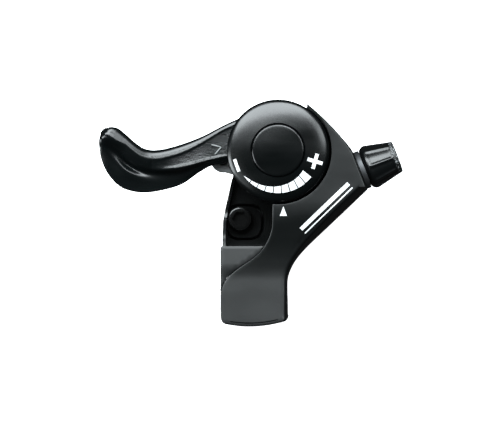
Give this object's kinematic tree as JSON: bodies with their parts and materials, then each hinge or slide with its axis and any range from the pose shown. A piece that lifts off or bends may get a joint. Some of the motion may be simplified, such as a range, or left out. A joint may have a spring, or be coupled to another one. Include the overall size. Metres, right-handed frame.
{
  "type": "bicycle thumb shifter",
  "caption": "Left-hand friction thumb shifter for a bicycle: a hinged bar clamp, a turning dial with a curled thumb lever, and a barrel cable adjuster.",
  "frame": {"origin": "on the handlebar's axis, in the middle of the clamp's width", "axes": "+X runs along the handlebar towards the cable stop's side, +Y from the handlebar to the dial, +Z out of the dial's face"},
  "size_m": [0.099, 0.0739, 0.0394],
  "materials": {
    "body_nylon": "fine matt moulded black glass-filled nylon",
    "cover_nylon": "satin moulded black plastic",
    "lever_nylon": "semi-gloss moulded black plastic, grained on the web",
    "dial_plastic": "smooth satin black plastic",
    "drum_grey": "mid grey acetal",
    "knob_plastic": "satin black plastic",
    "white_print": "matt white printed marks",
    "plated_steel": "zinc-plated steel",
    "black_steel": "black oxide steel",
    "spring_steel": "spring steel"
  },
  "bodies": {
    "bracket": {"bracket_base": "body_nylon", "bracket_cover": "cover_nylon", "axle_post": "plated_steel", "friction_disc": "spring_steel", "drum_bush": "drum_grey", "pressure_washer": "plated_steel", "wave_washer": "spring_steel", "lever_screw": "plated_steel", "adjuster_collar": "plated_steel", "cover_screw_1": "black_steel", "cover_screw_2": "black_steel", "clamp_washer": "plated_steel", "hinge_pin": "plated_steel"},
    "lever": {"thumb_lever": "lever_nylon", "cable_drum": "drum_grey", "indicator_dial": "dial_plastic", "centre_cap": "dial_plastic"},
    "adjuster_carriage": {"housing_seat": "plated_steel"},
    "adjuster": {"adjuster_knob": "knob_plastic", "adjuster_stem": "black_steel", "adjuster_spring": "spring_steel"},
    "clamp_bolt": {"clamp_bolt": "black_steel"},
    "clamp_band": {"clamp_band": "body_nylon", "clamp_nut": "plated_steel"}
  },
  "joints": [
    {"name": "lever_turn", "type": "hinge", "parent": "bracket", "child": "lever", "pos_m": [0.008, 0.044, 0], "axis": [0, 0, 1], "range_deg": [-46, 54]},
    {"name": "adjuster_travel", "type": "slide", "parent": "bracket", "child": "adjuster_carriage", "axis": [0.9336, 0.3584, 0], "range_m": [0, 0.0056]},
    {"name": "adjuster_turn", "type": "hinge", "parent": "adjuster_carriage", "child": "adjuster", "pos_m": [0.0363, 0.03845, 0.01], "axis": [0.9336, 0.3584, 0], "range_deg": [0, 2520]},
    {"name": "clamp_bolt_turn", "type": "hinge", "parent": "bracket", "child": "clamp_bolt", "pos_m": [-0.0049, 0.0221, 0], "axis": [0, 0, 1], "range_deg": [0, 1080]},
    {"name": "clamp_band_swing", "type": "hinge", "parent": "bracket", "child": "clamp_band", "pos_m": [0, -0.0116, -0.0062], "axis": [1, 0, 0], "range_deg": [-4.08, 0]}
  ],
  "couplings": [
    {"joint": "adjuster_turn", "follows": "adjuster_travel", "rad_per_m": 7854},
    {"joint": "clamp_bolt_turn", "follows": "clamp_band_swing", "ratio": -264.7}
  ]
}
